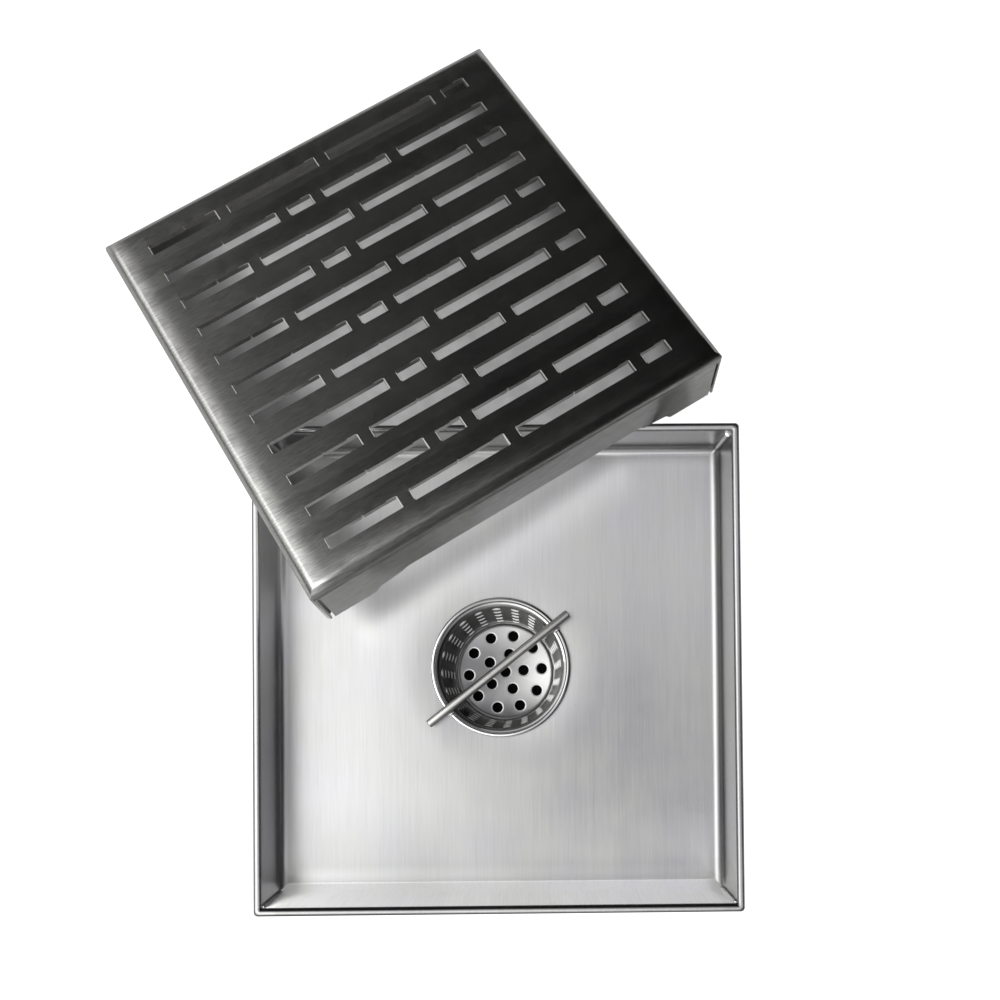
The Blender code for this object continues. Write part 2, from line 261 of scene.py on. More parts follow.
# ----------------------------------------------------------------- materials
def draw_in(nodes, facet, coords, normal, start, end, slope):
    """The flat sheet dips by slope between start and end, before it turns into each bend."""
    parts = []
    for axis in (X, Y):
        place = nodes.component(coords, axis)
        size = nodes.band(abs(place), span=mm(start, end))
        parts.append(nodes.math("SIGN", place) * (size * slope))
    dip = nodes.combine(*parts, 0.0)
    # only on faces that look up
    dip = nodes.scale(dip, nodes.band(nodes.component(normal, Z), span=(0.05, 0.8)))
    return nodes.add_unit(facet, nodes.convert(dip, "OBJECT", "WORLD"))


def paint_tray_light(nodes, facet, shade, coords, normal, x, y):
    """Paints light and shade on the tray, wall by wall, and bends the front wall's shading
    normal; gives back the facet and the shade.
    """
    # the inner face of the front wall gets a shading normal turned up like the floor's, so it
    # mirrors the same light as the floor, and painted light: its colour is 30% brighter
    wall = nodes.band(y, span=mm(-70.4, -71.4)) * (y > -74.4 * MM)
    wall = wall * nodes.band(nodes.component(normal, Y), span=(0.02, 0.10))
    height = nodes.dot(coords, (0.0, 0.0, 1.0))
    wall = wall * (height < (RIM_Z - 1.0) * MM)
    leaning = (0.0, 0.25, 0.968)
    facet = nodes.vec("NORMALIZE", nodes.mix(wall, facet, leaning, kind="VECTOR"))
    shade = nodes.scale(shade, nodes.multiply_add(wall, 0.30, 1.0))

    # painted light: the floor is up to 47% brighter over its last few millimetres before the
    # front wall
    level = nodes.band(y, span=mm(-64.5, -71.5), to=(0.0, 0.47)) * (1.0 - wall)
    looks_up = nodes.band(nodes.component(normal, Z), span=(0.5, 0.9))
    level = level * (looks_up * (height < 4.0 * MM))
    shade = nodes.scale(shade, level + 1.0)

    # painted light and shade: the floor's front part is darker to the left and brighter to the
    # right
    across = (nodes.band(x, span=mm(-2.0, -32.0), to=(0.0, -0.16))
              + nodes.band(x, span=mm(2.0, 34.0), to=(0.0, 0.12)))
    across = across * nodes.band(y, span=mm(-40.0, -66.0))
    across = across * nodes.band(abs(x), span=mm(71.0, 68.0))
    shade = nodes.scale(shade, across + 1.0)

    # painted light and shade: faces that look right, as the left wall does, are brighter; those
    # that look left darker
    normal_x = nodes.component(normal, X)
    turned = (nodes.band(normal_x, span=(0.08, 0.95), to=(1.0, 1.72))
              + nodes.band(normal_x, span=(-0.95, -0.08), to=(-0.34, 0.0)))
    shade = nodes.scale(shade, turned)

    # painted shade: along the front, two dark lines, on the rim's inner edge and down its outer
    # side, leave a thin bright line between them
    inner = nodes.band(y, span=mm(-73.2, -73.6)) * nodes.band(y, span=mm(-74.9, -74.4))
    inner = inner * nodes.band(abs(x), span=mm(74.6, 74.0))
    rim = nodes.math("MAXIMUM", inner, nodes.band(y, span=mm(-75.4, -75.9)))
    rim = rim * (height > (RIM_Z - 1.6) * MM)
    return facet, nodes.scale(shade, nodes.multiply_add(rim, -0.72, 1.0))


def brushed(name, colour, rough, aniso, grain, cross, streak, tone, bump, smudge=0.05,
            edge_wear_and_highlight=0.10, tint=None, fine=0.16, hair_length=22.0, coarse=1.0, scratches=0.25,
            seed=0.0, painted_tray_light=False, drawn_in=None, dished=0.0):
    """Brushed sheet: streaks along the grain, folded with the sheet where it bends.

    grain and cross are directions in the object's own axes. streak and tone are the
    contrast of fine lines and of broad areas; fine and hair_length are a hair line's
    width and length. coarse, scratches, smudge, wear and bump are strengths; tint is a
    second colour in clouds. drawn_in is (start, end, slope) for draw_in, and dished the
    slope of a shallow bowl at its edge."""
    nodes = Material(name)
    coords = nodes.coords()
    surface = nodes.add("NewGeometry").outputs
    normal = nodes.convert(surface["Normal"], "WORLD", "OBJECT", kind="NORMAL")
    grain, cross = Vector(grain).normalized(), Vector(cross).normalized()
    up = tuple(grain.cross(cross))
    # the tangent runs across the grain, following the folds; a little of cross is added
    # so that it never vanishes
    small_cross = tuple(cross * 0.03)
    grain, cross = tuple(grain), tuple(cross)
    tangent = nodes.add_unit(nodes.vec("CROSS_PRODUCT", grain, normal), small_cross)
    tangent = nodes.convert(tangent, "OBJECT", "WORLD")
    # on a flange folded about the cross axis the grain turns and runs down the sheet
    folded = abs(nodes.dot(normal, grain)) > 0.72
    x, y, z = (nodes.dot(coords, axis) for axis in (cross, grain, up))

    def streaks(width, length, offset, detail):
        high, low = 1.0 / (width * MM), 1.0 / (length * MM)
        flat = nodes.combine(x * high, y * low, nodes.multiply_add(z, high, offset))
        fold = nodes.combine(x * high, y * high, nodes.multiply_add(z, low, offset))
        place = nodes.mix(folded, flat, fold, kind="VECTOR")
        return nodes.noise(place, detail=detail, rough=0.6)

    hair = streaks(width=fine, length=hair_length, offset=seed, detail=2.0)
    medium = streaks(width=0.8, length=60, offset=seed + 7.1, detail=3.0)
    broad = streaks(width=7.0, length=160, offset=seed + 3.3, detail=1.0)
    cloud = nodes.noise(nodes.vec("ADD", coords, (seed, 0.0, 0.0)),
                        scale=38.0, detail=3.0, rough=0.55)
    spots = nodes.noise(coords, scale=420.0, detail=2.0, rough=0.6)
    lone = streaks(width=0.22, length=9, offset=seed + 11.9, detail=0.0)
    scratch = nodes.band(lone, span=(0.735, 0.80))

    # colour: streaks, broad bands, faint clouds, scratches, and brighter edges, both wear and a
    # painted highlight
    value = nodes.around(1.0, hair, streak)
    value = value + (medium - 0.5) * (streak * 1.3 * coarse)
    value = value + (broad - 0.5) * tone
    value = value + (cloud - 0.5) * (tone * 1.2)
    value = value + scratch * (scratches * 0.22)
    value = value + nodes.band(surface["Pointiness"], span=(0.53, 0.60)) * edge_wear_and_highlight
    if tint:
        clouds = nodes.band(cloud, span=(0.35, 0.65))
        base = nodes.mix(clouds, (*colour, 1.0), (*tint, 1.0))
    else:
        base = nodes.mix(1.0, (1, 1, 1, 1), (*colour, 1.0))
    shade = nodes.scale(base, value)

    roughness = nodes.around(rough, medium, 0.10 * coarse)
    roughness = roughness + (cloud - 0.5) * (smudge * 2.0)
    roughness = nodes.math("ADD", roughness, (spots - 0.5) * 0.03, clamp=True)

    height = hair * 0.7 + medium * (0.5 * coarse)
    height = height - scratch * (3.0 * scratches)
    facet = nodes.bump(strength=bump, distance=0.012 * MM, height=height)
    if dished:
        inward = nodes.vec("MULTIPLY", coords, (-1.0, -1.0, 0.0))
        dish_radius = 16.5 * MM
        facet = nodes.add_unit(facet, nodes.scale(inward, dished / dish_radius))
    if drawn_in:
        facet = draw_in(nodes, facet, coords, normal, *drawn_in)
    # painted light and shade on the tray, and a bent shading normal on its front wall
    if painted_tray_light:
        facet, shade = paint_tray_light(nodes, facet, shade, coords, normal, x, y)
    nodes.set(Base_Color=shade, Metallic=1.0, Roughness=roughness, Anisotropic=aniso,
              Tangent=tangent, Normal=facet)
    return nodes.mat


def plain_steel(name, colour, rough, grain_scale=900.0, bump=0.2, tone=0.10, painted_side_light=None):
    """Bright wire, weld metal, pressed sheet and cut edges: no single grain direction.

    The last argument gives a direction and a curve: painted light and shade on the sheet round
    the piece, by how far each place faces that direction."""
    nodes = Material(name)
    coords = nodes.coords()
    fine = nodes.noise(coords, scale=grain_scale, detail=3.0, rough=0.6)
    cloud = nodes.noise(coords, scale=170.0, detail=2.0, rough=0.5)
    value = nodes.around(1.0, fine, tone)
    value = value + (cloud - 0.5) * (tone * 1.5)
    edge = nodes.band(nodes.geometry("Pointiness"), span=(0.52, 0.62))
    value = value + edge * 0.12
    # painted light and shade: the sheet is lighter or darker round the piece
    if painted_side_light:
        towards, stops = painted_side_light
        outward = nodes.vec("NORMALIZE", nodes.vec("MULTIPLY", coords, (1.0, 1.0, 0.0)))
        value = value * nodes.ramp(nodes.dot(outward, towards), stops, top=4.0)
    roughness = nodes.around(rough, cloud, 0.16)
    roughness = nodes.math("ADD", roughness, (fine - 0.5) * 0.08, clamp=True)
    nodes.set(Base_Color=nodes.scale(colour, value), Metallic=1.0, Roughness=roughness,
              Normal=nodes.bump(strength=bump, distance=0.02 * MM, height=fine))
    return nodes.mat


def drawn_rod(name, colour, rough, axis):
    """Bar ground round its length: fine rings and long draw lines."""
    nodes = Material(name)
    coords = nodes.coords()
    surface = nodes.add("NewGeometry").outputs
    axis = tuple(Vector(axis).normalized())
    along = nodes.dot(coords, axis)
    rest = nodes.vec("SUBTRACT", coords, nodes.scale(axis, along))

    def lines(across_scale, along_scale):
        across = nodes.scale(rest, across_scale)
        return nodes.noise(nodes.vec("ADD", across, nodes.scale(axis, along * along_scale)))

    long_lines = lines(across_scale=4500.0, along_scale=60.0)
    rings = lines(across_scale=300.0, along_scale=5200.0)
    value = nodes.around(1.0, long_lines, 0.16)
    value = value + (rings - 0.5) * 0.10
    value = value + nodes.band(surface["Pointiness"], span=(0.52, 0.62)) * 0.10
    tangent = nodes.vec("CROSS_PRODUCT", axis, surface["Normal"])
    facet = nodes.bump(strength=0.25, distance=0.02 * MM, height=long_lines + rings)
    nodes.set(Base_Color=nodes.scale(colour, value), Metallic=1.0,
              Roughness=nodes.around(rough, long_lines, 0.14, clamp=True), Anisotropic=0.5,
              Tangent=nodes.convert(tangent, "WORLD", "WORLD"), Normal=facet)
    return nodes.mat


# painted light and shade against how far a place faces the given direction: (cosine, tone)
BASKET_PAINTED_LIGHT = ((-1.0, 0.42), (-0.70, 0.52), (-0.40, 0.95), (0.0, 1.25),
                (0.30, 1.90), (0.55, 2.40), (1.0, 3.20))
RIM_PAINTED_LIGHT = ((-1.0, 0.55), (0.0, 0.75), (0.5, 1.25), (1.0, 1.50))

TRAY = brushed(
    "tray_brushed", colour=(0.408, 0.408, 0.416), tint=(0.41, 0.41, 0.40), rough=0.30,
    aniso=0.40, grain=(0, 1, 0), cross=(1, 0, 0), streak=0.26, tone=0.07, bump=0.12,
    edge_wear_and_highlight=0.03, fine=0.30, hair_length=14.0, coarse=0.45, scratches=0.0, seed=2.0,
    painted_tray_light=True)
GRATE = brushed(
    "grate_brushed", colour=(0.50, 0.495, 0.483), tint=(0.505, 0.505, 0.485), rough=0.24,
    aniso=0.78, grain=(1, 0, 0), cross=(0, -1, 0), streak=1.05, tone=0.20, bump=0.50,
    smudge=0.06, edge_wear_and_highlight=0.25, fine=0.42, hair_length=4.0, coarse=0.20, scratches=0.12,
    seed=5.0, drawn_in=(61.5, 68.5, 0.11))
CUT = plain_steel("laser_cut_edge", colour=(0.60, 0.59, 0.57), rough=0.34,
                  grain_scale=1500.0, bump=0.35, tone=0.25)
# the basket wall has painted light and shade round it
BASKET = plain_steel("basket_sheet", colour=(0.23, 0.23, 0.227), rough=0.30,
                     grain_scale=1100.0, bump=0.15, tone=0.12,
                     painted_side_light=((0.92, 0.30, 0.0), BASKET_PAINTED_LIGHT))
BASE = brushed("basket_base_sheet", colour=(0.335, 0.335, 0.333), rough=0.30, aniso=0.3,
               grain=(0.6, 0.8, 0), cross=(0.8, -0.6, 0), streak=0.08, tone=0.12, bump=0.2,
               seed=9.0, scratches=0.0, dished=0.26)
HALO = plain_steel("pressed_hole_edge", colour=(0.50, 0.50, 0.50), rough=0.45,
                   bump=0.1, tone=0.05)
# the rim wire has painted light and shade round it
POLISHED = plain_steel("polished_wire", colour=(0.56, 0.56, 0.56), rough=0.10,
                       grain_scale=500.0, bump=0.05, tone=0.05,
                       painted_side_light=((-0.80, -0.60, 0.0), RIM_PAINTED_LIGHT))
ROD = drawn_rod("drawn_rod", colour=(0.46, 0.455, 0.44), rough=0.30,
                axis=(math.cos(ROD_TURN), math.sin(ROD_TURN), 0))
WELD = plain_steel("weld_metal", colour=(0.58, 0.58, 0.585), rough=0.30,
                   grain_scale=700.0, bump=0.3, tone=0.15)
STUB = brushed("stub_pipe", colour=(0.66, 0.66, 0.66), rough=0.38, aniso=0.3,
               grain=(0, 0, 1), cross=(1, 0, 0), streak=0.07, tone=0.08, bump=0.25, seed=14.0)


# -------------------------------------------------------------- mesh helpers
def mesh_from(name, bm, mats):
    """Turns a bmesh in millimetres into a mesh in metres."""
    bmesh.ops.scale(bm, vec=(MM, MM, MM), verts=bm.verts)
    mesh = bpy.data.meshes.new(name)
    bm.to_mesh(mesh)
    bm.free()
    for mat in mats:
        mesh.materials.append(mat)
    return mesh


def add_object(name, data):
    obj = bpy.data.objects.new(name, data)
    scene.collection.objects.link(obj)
    return obj


def assign(obj, body, replaces):
    """Tells the frame what a piece rides on and replaces."""
    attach(obj, body)
    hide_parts(replaces)


def make(name, bm, mats, body, replaces, sharp=32.0, at=OUTLET):
    """Turns a bmesh into a smooth piece; edges above the sharp angle (degrees) stay sharp."""
    bmesh.ops.recalc_face_normals(bm, faces=bm.faces)
    mesh = mesh_from(name, bm, mats)
    mesh.shade_smooth()
    mesh.set_sharp_from_angle(angle=math.radians(sharp))
    obj = add_object(name, mesh)
    obj.location = Vector(at) * MM
    bpy.context.view_layer.update()
    assign(obj, body, replaces)
    return obj


def bake(obj):
    """Applies the modifiers of a piece."""
    bpy.context.view_layer.update()
    graph = bpy.context.evaluated_depsgraph_get()
    new = bpy.data.meshes.new_from_object(obj.evaluated_get(graph))
    obj.modifiers.clear()
    old = obj.data
    obj.data = new
    new.name = obj.name
    bpy.data.meshes.remove(old)


def boolean_cut(obj, bm, mats, place):
    """Cuts a bmesh in millimetres, set at a place, out of a piece."""
    mesh = mesh_from("cutter", bm, mats)
    cutter = add_object("cutter", mesh)
    cutter.matrix_world = place
    bpy.context.view_layer.update()
    mod = obj.modifiers.new("cut", "BOOLEAN")
    mod.operation = "DIFFERENCE"
    mod.object = cutter
    mod.solver = "EXACT"
    mod.material_mode = "INDEX"
    bake(obj)
    bpy.data.objects.remove(cutter)
    bpy.data.meshes.remove(mesh)


def arc(centre_r, centre_z, radius, start, end, steps):
    """Points (radius, z) on an arc, angles in degrees, ends included."""
    angles = [math.radians(start + (end - start) * i / steps) for i in range(steps + 1)]
    return [(centre_r + radius * math.cos(a), centre_z + radius * math.sin(a)) for a in angles]


def circle(bm, radius, z, count, x=0.0, y=0.0):
    """A level ring of vertices."""
    return [bm.verts.new((x + radius * math.cos(TAU * j / count),
                          y + radius * math.sin(TAU * j / count), z)) for j in range(count)]


def grid_faces(bm, rows, closed_rows=False, mat=0):
    """Quads between rows of vertices, each row a closed ring."""
    count = len(rows)
    for i in range(count if closed_rows else count - 1):
        low, high = rows[i], rows[(i + 1) % count]
        for j in range(len(low)):
            k = (j + 1) % len(low)
            bm.faces.new((low[j], low[k], high[k], high[j])).material_index = mat


def tube(bm, rings, mat=0):
    """Joins rings, and closes the two ends."""
    grid_faces(bm, rings, mat=mat)
    bm.faces.new(rings[0][::-1]).material_index = mat
    bm.faces.new(rings[-1]).material_index = mat


def spin(bm, profile, segments):
    """A turned body from a closed (radius, z) outline."""
    grid_faces(bm, [circle(bm, r, z, segments) for r, z in profile], closed_rows=True)


# ---------------------------------------------------------------------- tray
SIDE_STEPS, CORNER_STEPS = 24, 6
RING_POINTS = 4 * (SIDE_STEPS + 2 * CORNER_STEPS)
# the floor goes from round to square between this radius and this half side
FLOOR_ROUND_R, FLOOR_SQUARE = 34.0, 45.0


def square_ring(half, radius):
    """Points round a square of this half side with corners of this radius."""
    centre = half - radius
    side = []
    for i in range(CORNER_STEPS):
        a = math.radians(-45 + 45 * i / CORNER_STEPS)
        side.append((half - radius + radius * math.cos(a), -half + radius + radius * math.sin(a)))
    for i in range(SIDE_STEPS + 1):
        side.append((half, (-1 + 2 * i / SIDE_STEPS) * centre))
    for i in range(1, CORNER_STEPS):
        a = math.radians(45 * i / CORNER_STEPS)
        side.append((centre + radius * math.cos(a), centre + radius * math.sin(a)))
    points = []
    for quarter in range(4):
        a = math.pi / 2 * quarter
        points += [(x * math.cos(a) - y * math.sin(a), x * math.sin(a) + y * math.cos(a))
                   for x, y in side]
    return points


def round_ring(radius):
    """As many points as a square ring, round a circle."""
    angles = [TAU * j / RING_POINTS - math.pi / 4 for j in range(RING_POINTS)]
    return [(radius * math.cos(a), radius * math.sin(a)) for a in angles]


def build_tray():
    """One closed section: collar, floor, wall and hem, then back along the outside."""
    inside, sheet, rim = TRAY_INSIDE / 2, TRAY_SHEET, TRAY_SIDE / 2
    wall = inside + sheet
    hem_foot = RIM_Z - HEM_HEIGHT
    collar_bend = 1.4
    rim_inner, rim_outer, hem_edge = 1.05, 1.15, 0.6     # bend radii of the rim and hem
    hem_inside, hem_fold = wall + 0.18, hem_foot + 0.7   # where the hem folds back
    outer_bend = TRAY_BEND + sheet
    collar_chamfer = 0.9

    collar = [(COLLAR_R, -COLLAR_DROP), (COLLAR_R, -0.2)]
    collar += arc(COLLAR_R + collar_bend, sheet - collar_bend, collar_bend, 180, 90, 6)
    collar += [(FLOOR_ROUND_R, sheet)]

    shell = [(FLOOR_SQUARE, sheet)]
    shell += arc(inside - TRAY_BEND, sheet + TRAY_BEND, TRAY_BEND, -90, 0, 10)
    shell += [(inside, RIM_Z - 3.2)]
    shell += arc(inside + rim_inner, RIM_Z - rim_inner, rim_inner, 180, 90, 7)
    shell += arc(rim - rim_outer, RIM_Z - rim_outer, rim_outer, 90, 0, 7)
    shell += arc(rim - hem_edge, hem_foot + hem_edge, hem_edge, 0, -90, 4)
    shell += [(hem_inside, hem_foot), (hem_inside, hem_fold), (wall, hem_fold)]
    shell += [(wall, hem_foot - 0.3)]
    shell += arc(wall - outer_bend, outer_bend, outer_bend, 0, -90, 10)
    shell += [(FLOOR_SQUARE, 0.0)]

    underside = [(FLOOR_ROUND_R, 0.0), (COLLAR_OUTER_R + collar_chamfer, 0.0),
                 (COLLAR_OUTER_R, -collar_chamfer), (COLLAR_OUTER_R, -COLLAR_DROP)]

    def corner_radius(half):
        if half > inside + 1.0:
            return 1.3
        return 24.0 if half == FLOOR_SQUARE else 0.3

    rings = [(round_ring(size), z) for size, z in collar]
    rings += [(square_ring(size, corner_radius(size)), z) for size, z in shell]
    rings += [(round_ring(size), z) for size, z in underside]
    bm = bmesh.new()
    grid_faces(bm, [[bm.verts.new((x, y, z)) for x, y in ring] for ring, z in rings],
               closed_rows=True)
    make("tray_body", bm, [TRAY], "tray", "tray_pan", sharp=28.0)


def build_corner_bead(corner, side_x, side_y, radius, ball):
    """A weld bead up an inside corner: overlapping ripples, and at most a ball on top."""
    bm = bmesh.new()
    low, high = TRAY_SHEET + 1.2, RIM_Z - 1.3
    steps, around = 66, 16
    ripple_pitch = 1.05
    ball_r, ball_z = 1.12, high - 0.2
    rings = []
    for i in range(steps + 1):
        t = i / steps
        z = low + (high - low) * t
        phase = TAU * z / ripple_pitch
        rough = noise.noise(Vector((z, side_x, side_y)))
        ripple = 1.0 + 0.11 * math.sin(phase) + 0.05 * rough
        r = radius * ripple * min(1.0, 0.35 + 2.6 * math.sqrt(t))
        if ball:
            r = max(r, math.sqrt(max(0.0, ball_r ** 2 - (ball_z - z) ** 2)))
        if i in (0, steps):
            r *= 0.55
        lean = 0.10 * math.sin(phase + 1.0)
        angles = [TAU * j / around for j in range(around)]
        rings.append([bm.verts.new((r * math.cos(a), r * math.sin(a),
                                    z + lean * math.cos(a + math.pi / 4))) for a in angles])
    tube(bm, rings)
    reach = TRAY_INSIDE / 2 - radius * 0.62
    make(f"weld_bead_{corner}", bm, [WELD], "tray", f"corner_weld_{corner}",
         sharp=60.0, at=OUTLET + Vector((side_x * reach, side_y * reach, 0.0)))


def build_outlet_pipe():
    """The pipe below the collar, with a low band round it."""
    inner, outer = COLLAR_R, COLLAR_OUTER_R
    top, end = -COLLAR_DROP - 0.3, -STUB_END
    chamfer, band = 0.25, 0.25
    profile = [(outer, top), (outer, -9.9), (outer + band, -9.6), (outer + band, -8.9),
               (outer, -8.6), (outer, end + chamfer), (outer - chamfer, end),
               (inner + chamfer, end), (inner, end + chamfer), (inner, top)]
    bm = bmesh.new()
    spin(bm, profile, 96)
    make("outlet_pipe", bm, [STUB], "tray", "outlet_stub")


def build_outlet_weld():
    """Ripple weld round the joint of collar and pipe."""
    around, section, ripples = 240, 10, 80
    middle_r, width, height = COLLAR_OUTER_R + 0.95, 0.8, 0.85
    bm = bmesh.new()
    rings = []
    for j in range(around):
        a = TAU * j / around
        ripple = 1.0 + 0.14 * math.sin(a * ripples)
        ring = []
        for i in range(section):
            b = TAU * i / section
            r = middle_r + width * ripple * math.cos(b)
            skewed = a + 0.010 * math.cos(b)
            z = -COLLAR_DROP - 0.1 + height * ripple * math.sin(b)
            ring.append(bm.verts.new((r * math.cos(skewed), r * math.sin(skewed), z)))
        rings.append(ring)
    grid_faces(bm, rings, closed_rows=True)
    make("outlet_weld_bead", bm, [WELD], "tray", "outlet_weld", sharp=70.0)


# ------------------------------------------------------------------ strainer
SLIT_COLUMNS, SLIT_ROWS = 20, 5
COLUMN_STEPS = 14                   # mesh steps across one column of slits
WALL_AROUND = SLIT_COLUMNS * COLUMN_STEPS
WALL_LEVELS = 61
SLIT_HALF = 0.21                    # half a slit, as a share of a column's width
SLIT_HEIGHTS = [(i + 1.0) / (SLIT_ROWS + 1.0) for i in range(SLIT_ROWS)]


def build_basket_rim():
    """A round rolled bead."""
    bm = bmesh.new()
    spin(bm, arc(RING_R + 0.2, RING_Z, RING_WIRE - 0.2, 205, -155, 22)[:-1], 144)
    make("basket_rim", bm, [POLISHED], "strainer", "strainer_rim",
         sharp=80.0, at=OUTLET + BASKET_TOP)


def from_slit(place):
    """Distance round the wall to the middle of the nearest slit, as a share of a column."""
    share = place % COLUMN_STEPS / COLUMN_STEPS
    return min(share, 1 - share)


def wall_point(j, t, inner):
    """A point on the basket wall, step j round it and a share t of the way down."""
    a = TAU * (j / WALL_AROUND) + TAU * 0.25 / SLIT_COLUMNS
    flare = max(0.0, 1.0 - t / 0.13)
    r = (WALL_TOP_R + 0.75 * flare * flare + (WALL_FOOT_R - WALL_TOP_R) * t
         - (WALL_SHEET if inner else 0.0))
    # the sheet is pressed inwards just below each slit
    share, pressed_half = from_slit(j), SLIT_HALF + 0.03
    pressed = 0.0
    if share < pressed_half:
        across = max(0.0, 1 - (share / pressed_half) ** 2)
        for slit in SLIT_HEIGHTS:
            below = (t - slit) * BASKET_DEPTH
            if -0.25 < below < 1.0:
                pressed += across * 0.24 * math.exp(-((below - 0.18) / 0.34) ** 2)
    r -= pressed
    centre = BASKET_TOP.lerp(BASKET_FOOT, t)
    top_z = RING_Z - 0.2
    return (centre.x + r * math.cos(a), centre.y + r * math.sin(a),
            top_z + (FOOT_Z - RING_Z + 0.2) * t)


def is_slit(i, j):
    t = (i + 0.5) / (WALL_LEVELS - 1)
    return from_slit(j + 0.5) < SLIT_HALF and any(
        abs((t - slit) * BASKET_DEPTH + 0.12) < 0.30 for slit in SLIT_HEIGHTS)


def build_basket_wall():
    """Conical wall of two skins, with columns of louvred slits through it."""
    bm = bmesh.new()
    skins = {inner: [[bm.verts.new(wall_point(j, i / (WALL_LEVELS - 1), inner))
                      for j in range(WALL_AROUND)] for i in range(WALL_LEVELS)]
             for inner in (False, True)}
    cells = [(i, j) for i in range(WALL_LEVELS - 1) for j in range(WALL_AROUND)]
    gone = {cell for cell in cells if is_slit(*cell)}
    for i, j in cells:
        if (i, j) in gone:
            continue
        k = (j + 1) % WALL_AROUND
        outer, inner = ([skin[i][j], skin[i][k], skin[i + 1][k], skin[i + 1][j]]
                        for skin in skins.values())
        bm.faces.new(outer)
        bm.faces.new(inner[::-1])
        # close the sheet's thickness towards each missing neighbour
        neighbours = ((i - 1, j, 0, 1), (i + 1, j, 2, 3),
                      (i, (j - 1) % WALL_AROUND, 3, 0), (i, k, 1, 2))
        for next_i, next_j, p, q in neighbours:
            if next_i < 0 or next_i >= WALL_LEVELS - 1 or (next_i, next_j) in gone:
                bm.faces.new((outer[p], inner[p], inner[q], outer[q]))
    make("basket_wall", bm, [BASKET], "strainer", "strainer_wall", sharp=40.0)


def build_basket_base():
    """Base disc with a turned-up edge, and countersunk holes with pressed edges."""
    at = OUTLET + BASKET_FOOT
    base_r, thick, edge_bend = WALL_FOOT_R - WALL_SHEET, 0.35, 1.3
    centre_r = 0.001
    bm = bmesh.new()
    outline = arc(base_r - 0.9, FOOT_Z + edge_bend, edge_bend, -90, -20, 6)
    inner = [(r - 0.45, z + thick) for r, z in reversed(outline)]
    spin(bm, [(centre_r, FOOT_Z)] + outline + inner + [(centre_r, FOOT_Z + thick)], 128)
    bmesh.ops.remove_doubles(bm, verts=bm.verts, dist=0.01)
    base = make("basket_base", bm, [BASE, HALO], "strainer", "strainer_base",
                sharp=35.0, at=at)

    holes = [(0.0, 0.0)]
    for count, ring_r in ((5, 6.3), (10, 12.6)):
        for i in range(count):
            a = math.radians(5.0) + TAU * i / count
            holes.append((ring_r * math.cos(a), ring_r * math.sin(a)))
    # a hole's outline from top to bottom: (radius, height above the base)
    hole_profile = ((2.34, 1.4), (2.20, 0.34), (1.82, 0.25), (1.80, -0.6))
    cut = bmesh.new()
    for x, y in holes:
        tube(cut, [circle(cut, r, FOOT_Z + z, 40, x, y) for r, z in hole_profile], mat=1)
    bmesh.ops.recalc_face_normals(cut, faces=cut.faces)
    boolean_cut(base, cut, [BASE, HALO], Matrix.Translation(at * MM))


def build_rod():
    """Lifting rod across the rim, with softened ends."""
    radius, half, soft, around = ROD_R + 0.15, ROD_LENGTH / 2, 0.35, 32
    profile = (arc(radius - soft, -half + soft, soft, -90, 0, 6)
               + [(radius, -half * 0.5), (radius, half * 0.5)]
               + arc(radius - soft, half - soft, soft, 0, 90, 6))
    bm = bmesh.new()
    angles = [TAU * j / around for j in range(around)]
    tube(bm, [[bm.verts.new((along, r * math.cos(a), r * math.sin(a))) for a in angles]
              for r, along in profile])
    place = Matrix.Rotation(ROD_TURN, 4, "Z") @ Matrix.Translation((ROD_SHIFT, 0, 0))
    bmesh.ops.transform(bm, matrix=place, verts=bm.verts)
    rod_z = RING_Z + RING_WIRE + 0.3 + ROD_R
    make("lifting_rod", bm, [ROD], "strainer", "strainer_rod", sharp=50.0,
         at=OUTLET + BASKET_TOP + Vector((0, 0, rod_z)))


def build_tack(end, side):
    """Tack weld that wets the rod and the rim."""
    half_sizes = (1.25, 0.62, 0.52)
    bm = bmesh.new()
    bmesh.ops.create_icosphere(bm, subdivisions=4, radius=1.0)
    for vert in bm.verts:
        point = vert.co.copy()
        lump = (1.0 + 0.10 * noise.noise(point * 2.3 + Vector((side, 0, 0)))
                + 0.03 * math.sin(point.x * 11))
        vert.co = Vector([p * size * lump for p, size in zip(point, half_sizes)])
    bmesh.ops.transform(bm, matrix=Matrix.Rotation(ROD_TURN, 4, "Z"), verts=bm.verts)
    # beside the rod, where it crosses the rim
    beside = ROD_R + 0.62
    along = side * math.sqrt(RING_R ** 2 - beside ** 2)
    cosine, sine = math.cos(ROD_TURN), math.sin(ROD_TURN)
    make(f"tack_{end}", bm, [WELD], "strainer", f"rod_weld_{end}", sharp=80.0,
         at=OUTLET + BASKET_TOP + Vector((along * cosine + beside * sine,
                                          along * sine - beside * cosine,
                                          RING_Z + RING_WIRE + 0.25)))


# --------------------------------------------------------------------- grate
def relief(from_corner):
    """Height of the skirt's lower edge above the legs' ends."""
    def step(start, end):
        t = min(1.0, max(0.0, (from_corner - start) / (end - start)))
        return t * t * (3 - 2 * t)
    ramp = 1.2 * min(1.0, max(0.0, (from_corner - 18.8) / 7.8))
    return 2.3 * step(16.6, 19.2) + ramp + 1.3 * step(26.2, 29.2)


def lay_out_slots():
    """Slots as (left end, right end, middle y), from the rear row forward."""
    slots = []
    total = sum(SLOT_LENGTHS) + 3 * SLOT_WEB
    for row in range(SLOT_ROWS):
        y = SLOT_PITCH * ((SLOT_ROWS - 1) / 2 - row)
        x = -total / 2
        for which in (SLOT_ODD if row % 2 == 0 else SLOT_EVEN):
            slots.append((x, x + SLOT_LENGTHS[which], y))
            x += SLOT_LENGTHS[which] + SLOT_WEB
    return slots


